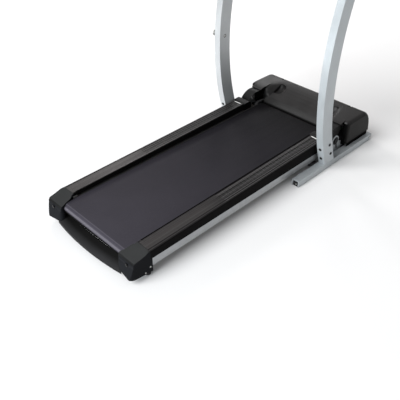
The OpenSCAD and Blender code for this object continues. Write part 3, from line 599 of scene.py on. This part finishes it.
# width and steps of the small rounded edges on the metal and moulded CAD pieces
ROUNDED = {
    "upright_right upright_left": (0.0032, 3),
    "base_channel_right base_channel_left": (0.0018, 2),
    "handrail_right handrail_left": (0.0008, 2),
    "hood": (0.0020, 2),
    "end_cap_right end_cap_left": (0.0022, 3),
    "rail_end_blocks pivot_covers rear_skirt": (0.0010, 2),
    "console_shell": (0.0015, 2),
    "side_rail_right side_rail_left": (0.0008, 2),
    "foot_rail_right foot_rail_left": (0.0005, 1),
    "walking_belt": (0.0005, 2),
    "post_bolts pivot_bolts hood_screws rear_adjusters": (0.0004, 2),
    "pivot_plates latch_housing latch_knob console_face safety_key": (0.0006, 2),
    "button_start button_stop button_faster button_slower": (0.0005, 2),
    "foot_pads rear_feet wheel_right wheel_left power_switch power_inlet": (0.0006, 2),
    "cross_tubes deck_crossmembers deck_board deck_lugs motor_pan": (0.0006, 1),
}


def round_edges(piece, width, steps):
    """Joins coplanar faces, then rounds the sharp edges."""
    weld = piece.modifiers.new("weld", "WELD")
    weld.merge_threshold = 0.00001
    flat = piece.modifiers.new("flat", "DECIMATE")
    flat.decimate_type = "DISSOLVE"
    flat.angle_limit = math.radians(0.4)
    bevel = piece.modifiers.new("bevel", "BEVEL")
    bevel.width = width
    bevel.segments = steps
    bevel.limit_method = "ANGLE"
    bevel.angle_limit = math.radians(35)
    bevel.use_clamp_overlap = True
    bevel.harden_normals = False
    shade = piece.modifiers.new("shade", "WEIGHTED_NORMAL")
    shade.keep_sharp = False


for names, (width, steps) in ROUNDED.items():
    for name in names.split():
        round_edges(nodes[name], width, steps)


# ---------------------------------------------------------------- mesh helpers
def add(name, bm, look, body, smooth=35):
    """Finishes a bmesh as a piece that rides on a body."""
    mesh = bpy.data.meshes.new(name)
    bmesh.ops.remove_doubles(bm, verts=bm.verts, dist=0.00001)
    bmesh.ops.recalc_face_normals(bm, faces=bm.faces)
    for f in bm.faces:
        f.smooth = True
    for e in bm.edges:
        if len(e.link_faces) == 2 and e.calc_face_angle(0) > math.radians(smooth):
            e.smooth = False
    bm.to_mesh(mesh)
    bm.free()
    mesh.materials.append(look)
    o = bpy.data.objects.new(name, mesh)
    scene.collection.objects.link(o)
    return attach(o, body)


def block(bm, lo, hi, r, steps=1, place=None):
    """Box with edges rounded by r."""
    lo, hi = Vector(lo), Vector(hi)
    made = bmesh.ops.create_cube(bm, size=1.0)["verts"]
    for v in made:
        v.co = (lo + hi) / 2 + Vector((v.co[i] * (hi - lo)[i] for i in range(3)))
    edges = list({e for v in made for e in v.link_edges})
    made = bmesh.ops.bevel(bm, geom=edges, offset=r, segments=steps, profile=0.5, affect="EDGES")["verts"]
    if place is not None:
        bmesh.ops.transform(bm, matrix=place, verts=[v for v in made if v.is_valid])


def turned(bm, profile, place, steps=40, close=True):
    """Surface of revolution round Z of (radius, height) points, then moved by place."""
    rings = []
    for r, h in profile:
        if r < 1e-6:
            rings.append([bm.verts.new(place @ Vector((0, 0, h)))])
            continue
        angles = [2 * math.pi * i / steps for i in range(steps)]
        points = [place @ Vector((r * math.cos(a), r * math.sin(a), h)) for a in angles]
        rings.append([bm.verts.new(p) for p in points])
    pairs = list(zip(rings, rings[1:]))
    if close and len(rings[0]) > 1 and len(rings[-1]) > 1:
        pairs.append((rings[-1], rings[0]))
    for a, b in pairs:
        for i in range(steps):
            j = (i + 1) % steps
            corners = []
            for v in (a[i % len(a)], a[j % len(a)], b[j % len(b)], b[i % len(b)]):
                if v not in corners:
                    corners.append(v)
            if len(corners) > 2:
                bm.faces.new(corners)


def pointing(direction, at):
    """Place matrix that turns +Z to a direction and moves to a point."""
    turn = Vector(direction).to_track_quat("Z", "Y").to_matrix().to_4x4()
    return Matrix.Translation(at) @ turn


def screw(bm, at, direction, r, tall):
    """Pan head with a raised cross, standing on the surface at a point."""
    place = pointing(direction, at)
    dome = [(0, -0.001), (r * 0.97, -0.001), (r, 0.0), (r, tall * 0.35)]
    for i in range(1, 6):
        a = math.pi / 2 * i / 6
        dome.append((r * math.cos(a) ** 0.7, tall * (0.35 + 0.65 * math.sin(a))))
    dome += [(r * 0.42, tall), (0, tall)]
    turned(bm, dome, place, 32, close=False)
    lo = (-r * 0.5, -r * 0.09, tall * 0.985)
    hi = (r * 0.5, r * 0.09, tall * 1.04)
    for degrees in (20, 110):
        block(bm, lo, hi, r * 0.04, 1, place @ Matrix.Rotation(math.radians(degrees), 4, "Z"))


def strips(name, look, body, across, lo, hi, r, place=None):
    """One strip on each side, across being its two distances from the middle plane."""
    for side, tag in SIDES:
        x0, x1 = sorted(side * x for x in across)
        bm = bmesh.new()
        block(bm, (x0, *lo), (x1, *hi), r, 1, place)
        add(f"{name}_{tag}", bm, look, body)


# ---------------------------------------------------------------- foam grips
GRIP_R = 0.0181
GRIP_LENGTH = 0.249
GRIP_BORE = 0.01607  # just clear of the handrail
GRIP_LIP = 0.0168
GRIP_EDGE = 0.0012  # radius of the rounded ends
GRIP_SWELL = 0.00022
GRIP_ROWS = 70
GRIP_X, GRIP_Y, GRIP_Z = 0.372, Y(941), 1.060  # rear end of the right grip's middle line


def grip_profile():
    """Radius and height of the foam sleeve from one end to the other, bore left open."""
    quarter = [math.pi / 2 * i / 6 for i in range(7)]
    bend = GRIP_R - GRIP_EDGE
    profile = [(GRIP_BORE, 0.001), (GRIP_LIP, 0.0002)]
    for a in quarter:
        profile.append((bend + GRIP_EDGE * math.sin(a), GRIP_EDGE - GRIP_EDGE * math.cos(a)))
    for i in range(1, GRIP_ROWS):
        t = i / GRIP_ROWS
        profile.append((GRIP_R + GRIP_SWELL * math.sin(math.pi * t), 0.002 + (GRIP_LENGTH - 0.004) * t))
    for a in reversed(quarter):
        h = GRIP_LENGTH - GRIP_EDGE + GRIP_EDGE * math.cos(a)
        profile.append((bend + GRIP_EDGE * math.sin(a), h))
    return profile + [(GRIP_LIP, GRIP_LENGTH - 0.0002), (GRIP_BORE, GRIP_LENGTH - 0.001)]


for side, tag in SIDES:
    bm = bmesh.new()
    turned(bm, grip_profile(), pointing((0, 1, 0), (side * GRIP_X, GRIP_Y, GRIP_Z)), 56)
    grip = add(f"grip_foam_{tag}", bm, FOAM, "base", 60)
    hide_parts(f"grip_{tag}")

# ---------------------------------------------------------------- painted highlights on the rail blocks
# white strips along the blocks' rear upper edges: painted highlights
HIGHLIGHT_X, HIGHLIGHT_Y, HIGHLIGHT_Z = 0.2665, Y(1235.5), 0.1510
HIGHLIGHT_LEAN = 0.0423  # radians, as the block's top leans
HIGHLIGHT_HALF_X, HIGHLIGHT_HALF_Y = 0.0215, 0.0028

for side, tag in SIDES:
    bm = bmesh.new()
    tilt = Matrix.Translation((side * HIGHLIGHT_X, HIGHLIGHT_Y, HIGHLIGHT_Z)) @ Matrix.Rotation(side * HIGHLIGHT_LEAN, 4, "Y")
    lo = (-HIGHLIGHT_HALF_X, -HIGHLIGHT_HALF_Y, -0.0010)
    block(bm, lo, (HIGHLIGHT_HALF_X, HIGHLIGHT_HALF_Y, 0.0012), 0.0005, 2, tilt)
    add(f"edge_highlight_{tag}", bm, WHITE_AND_HIGHLIGHT, "deck")

# ---------------------------------------------------------------- strips of painted shade, and seals
# black strips along the inner edge of the foot rails, painted shade in the gap at the belt; the rails rise
# towards the hood
RAIL_RISE, RAIL_RUN = 18, 1140
TRIM_LENGTH, TRIM_THICK = 1.128, 0.0009
lean = Matrix.Rotation(math.atan(RAIL_RISE / RAIL_RUN), 4, "X")
lean = Matrix.Translation((0, Y(115), 0.1341)) @ lean
strips("rail_gap_shade", TRIM_AND_SHADE, "deck", (0.2256, 0.2318), (0, 0), (TRIM_LENGTH, TRIM_THICK), 0.0003, lean)

# rubber seals between the hood's sides and the channels
SEAL_BOTTOM, SEAL_TOP = 0.0372, 0.0608  # 0.2 mm clear of the channel and of the hood
strips("hood_seal", TRIM_AND_SHADE, "base", (0.3305, 0.3335), (Y(1447), SEAL_BOTTOM), (Y(1640), SEAL_TOP), 0.0004)

# black sheets that close the end caps from below, painted shade under the belt
SHADE_SHEET_BOTTOM, SHADE_SHEET_TOP = 0.0300, 0.0325
strips("cap_shade_sheet", TRIM_AND_SHADE, "deck", (0.2262, 0.2640), (Y(45), SHADE_SHEET_BOTTOM), (Y(100), SHADE_SHEET_TOP), 0.0004)

# ---------------------------------------------------------------- bright screws
# y from the deck's rear face in mm, z and radius of the screws in an end cap's leaning side
CAP_SCREWS = ((96, 0.0515, 0.0038), (70, 0.0330, 0.0034))
bm = bmesh.new()
for side, _ in SIDES:
    for y, z, r in CAP_SCREWS:
        x = 0.3046 + 0.0010 * (y - 66) / 34
        screw(bm, (side * x, Y(y), z), (side, -0.07, 0), r, 0.0020)
add("cap_screws", bm, ZINC, "deck")

# one in the rear end of each channel
bm = bmesh.new()
for side, _ in SIDES:
    screw(bm, (side * 0.3375, Y(1013), 0.0128), (0, -1, 0), 0.0036, 0.0022)
add("pad_screws", bm, ZINC, "base")

# ---------------------------------------------------------------- console face, in mm on its slope
FACE_TILT = Matrix.Translation((0, Y(1110), 1.072)) @ Matrix.Rotation(math.radians(32), 4, "X")
BUTTON_Y = 84
START_X, SLOWER_X, FASTER_X, STOP_X = -70, -24, 24, 70
BUTTON_TOP = 11.7 - 9  # a button is 11.7 tall, and 9 of it is below the face
# x, y and inner radius of the rims round the four buttons and the safety key's socket
RIMS = (
    (START_X, BUTTON_Y, 17.6),
    (STOP_X, BUTTON_Y, 17.6),
    (SLOWER_X, BUTTON_Y, 11.6),
    (FASTER_X, BUTTON_Y, 11.6),
    (0, 34, 14.6),
)
# x and y ranges of the printed lines: a frame round the window, and a dash at each end
FACE_LINES = (
    (-112, 112, 112.5, 113.3),
    (-112, 112, 236.5, 237.3),
    (-112, -111.2, 113.3, 236.5),
    (111.2, 112, 113.3, 236.5),
    (-150, -112, 56.0, 56.8),
    (112, 150, 56.0, 56.8),
)


def on_face(x, y, z=0.0):
    """Place matrix of a point on the console face, x across and y up the slope, in mm."""
    return FACE_TILT @ Matrix.Translation((x / 1000, y / 1000, z / 1000))


def rim(bm, x, y, r):
    """Raised ring on the face, r being its inner radius in mm."""
    r, wide, tall = r / 1000, 0.0022, 0.0008
    profile = [
        (r, -0.0004),
        (r, tall * 0.6),
        (r + wide * 0.25, tall),
        (r + wide * 0.75, tall),
        (r + wide, tall * 0.6),
        (r + wide, -0.0004),
    ]
    turned(bm, profile, on_face(x, y), 64)


def bar(bm, x, half_x, half_y, lo=-0.0002, hi=0.0003):
    """Flat mark on top of the button at x mm, its half sizes in metres."""
    place = on_face(x, BUTTON_Y, BUTTON_TOP)
    block(bm, (-half_x, -half_y, lo), (half_x, half_y, hi), 0.0002, 1, place)


bm = bmesh.new()
for x, y, r in RIMS:
    rim(bm, x, y, r)
add("button_rims", bm, BLACK, "base")

bm = bmesh.new()
for x0, x1, y0, y1 in FACE_LINES:
    block(bm, (x0 / 1000, y0 / 1000, -0.0002), (x1 / 1000, y1 / 1000, 0.00025), 0.0001, 1, FACE_TILT)
add("face_lines", bm, GREY, "base")

# a triangle, a square, a minus and a plus on the four buttons
TRIANGLE = ((-4, -5.5), (6.5, 0), (-4, 5.5))
bm = bmesh.new()
corners = []
for h in (-0.2, 0.3):
    for x, y in TRIANGLE:
        corners.append(bm.verts.new(on_face(START_X + x, BUTTON_Y + y, BUTTON_TOP + h) @ Vector()))
bm.faces.new(corners[:3][::-1])
bm.faces.new(corners[3:])
for i in range(3):
    j = (i + 1) % 3
    bm.faces.new((corners[i], corners[j], corners[j + 3], corners[i + 3]))
add("mark_start", bm, WHITE_AND_HIGHLIGHT, "button_start")

bm = bmesh.new()
bar(bm, STOP_X, 0.0050, 0.0050)
add("mark_stop", bm, WHITE_AND_HIGHLIGHT, "button_stop")

bm = bmesh.new()
bar(bm, SLOWER_X, 0.0045, 0.0009)
add("mark_slower", bm, BLACK, "button_slower")

bm = bmesh.new()
bar(bm, FASTER_X, 0.0045, 0.0009)
bar(bm, FASTER_X, 0.0009, 0.0045, -0.0001, 0.00032)
add("mark_faster", bm, BLACK, "button_faster")

# ---------------------------------------------------------------- read-outs behind the window
# each digit shows a nought: where its segments lie, and whether they lie across or upright
SEGMENTS = (
    (0, 1, "across"),
    (0, -1, "across"),
    (-1, 0.5, "upright"),
    (1, 0.5, "upright"),
    (-1, -0.5, "upright"),
    (1, -0.5, "upright"),
    (0, 0, "across"),
)
MIDDLE_BAR = 6
DIGITS_X = (-84, -74, -58, -48, -22, -12, 4, 38, 48, 64, 74)
DIGITS_Y = 212
DOTS = ((-66, 214.2), (-66, 209.8), (-4, 206.2), (56, 214.2), (56, 209.8))
BAR_HEIGHTS = (2, 3, 3, 4, 5, 5, 6, 5, 6, 7, 6, 5, 5, 4, 3, 3, 2, 2)
BAR_STEPS = 8


def segment(bm, x, y, wide, tall):
    """Flat lamp behind the window, its middle and sizes in mm."""
    block(
        bm,
        ((x - wide / 2) / 1000, (y - tall / 2) / 1000, -0.00062),
        ((x + wide / 2) / 1000, (y + tall / 2) / 1000, -0.00038),
        0.0001,
        1,
        FACE_TILT,
    )


lit, unlit = bmesh.new(), bmesh.new()
for x in DIGITS_X:
    for i, (across, up, lies) in enumerate(SEGMENTS):
        target = unlit if i == MIDDLE_BAR else lit
        if lies == "across":
            segment(target, x + across * 3, DIGITS_Y + up * 6.4, 4.6, 1.1)
        else:
            segment(target, x + across * 3.1, DIGITS_Y + up * 6.4, 1.1, 5.0)
for x, y in DOTS:
    segment(lit, x, y, 1.3, 1.3)
for i, tall in enumerate(BAR_HEIGHTS):
    for j in range(BAR_STEPS):
        segment(lit if j < tall else unlit, -85 + 10 * i, 138 + 7.2 * j, 7.4, 3.6)
add("display_lit", lit, LED, "base")
add("display_unlit", unlit, LED_OFF, "base")

# ---------------------------------------------------------------- floor and light
FLOOR_HALF = 9
WORLD_LIGHT = 0.36
SUN_LIGHT = 3.05
SUN_ANGLE = 38
SUN_DIRECTION = (0.18, 0.72, -0.68)


def paper_look():
    """Pale matt paper."""
    k = Look("floor_paper", specular=0.2)
    cloud = k.noise(1.5, 2)
    tone = k.mix(cloud, (0.83, 0.83, 0.835), grey(0.85))
    return k.done(tone, k.span(cloud, 0, 1, 0.8, 0.9))


def softbox(name, at, aim, size, power, colour=(1, 1, 1)):
    """Rectangular area light at a point, aimed at another."""
    data = bpy.data.lights.new(name, "AREA")
    data.shape = "RECTANGLE"
    data.size, data.size_y = size
    data.energy = power
    data.color = colour
    o = bpy.data.objects.new(name, data)
    o.location = at
    o.rotation_mode = "QUATERNION"
    o.rotation_quaternion = (Vector(aim) - Vector(at)).to_track_quat("-Z", "Y")
    scene.collection.objects.link(o)


def sunlight():
    """Broad soft sun from behind the camera."""
    data = bpy.data.lights.new("sun", "SUN")
    data.energy = SUN_LIGHT
    data.angle = math.radians(SUN_ANGLE)
    sun = bpy.data.objects.new("sun", data)
    sun.rotation_mode = "QUATERNION"
    sun.rotation_quaternion = Vector(SUN_DIRECTION).to_track_quat("-Z", "Y")
    scene.collection.objects.link(sun)


def even_world():
    """White surroundings of the same strength all round."""
    world = bpy.data.worlds.new("studio")
    scene.world = world
    world.use_nodes = True
    background = world.node_tree.nodes["Background"]
    background.inputs["Color"].default_value = (1.0, 1.0, 1.0, 1)
    background.inputs["Strength"].default_value = WORLD_LIGHT


bm = bmesh.new()
bmesh.ops.create_grid(bm, x_segments=2, y_segments=2, size=FLOOR_HALF)
mesh = bpy.data.meshes.new("floor")
bm.to_mesh(mesh)
bm.free()
mesh.materials.append(paper_look())
floor = bpy.data.objects.new("floor", mesh)
scene.collection.objects.link(floor)
floor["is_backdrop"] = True

even_world()
sunlight()
softbox("rim_front", (-2.57, 3.4, 1.95), (-0.30, 0.6, 0.19), (0.9, 0.6), 13)
softbox("fill", (0.2, -3.6, 0.7), (0.33, 0.3, 0.35), (1.2, 0.8), 85, (0.90, 0.96, 1.0))
softbox("rim", (-3.3, 1.25, 2.05), (-0.27, -0.3, 0.14), (1.1, 0.8), 40, (1.0, 0.95, 0.94))

lo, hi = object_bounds()
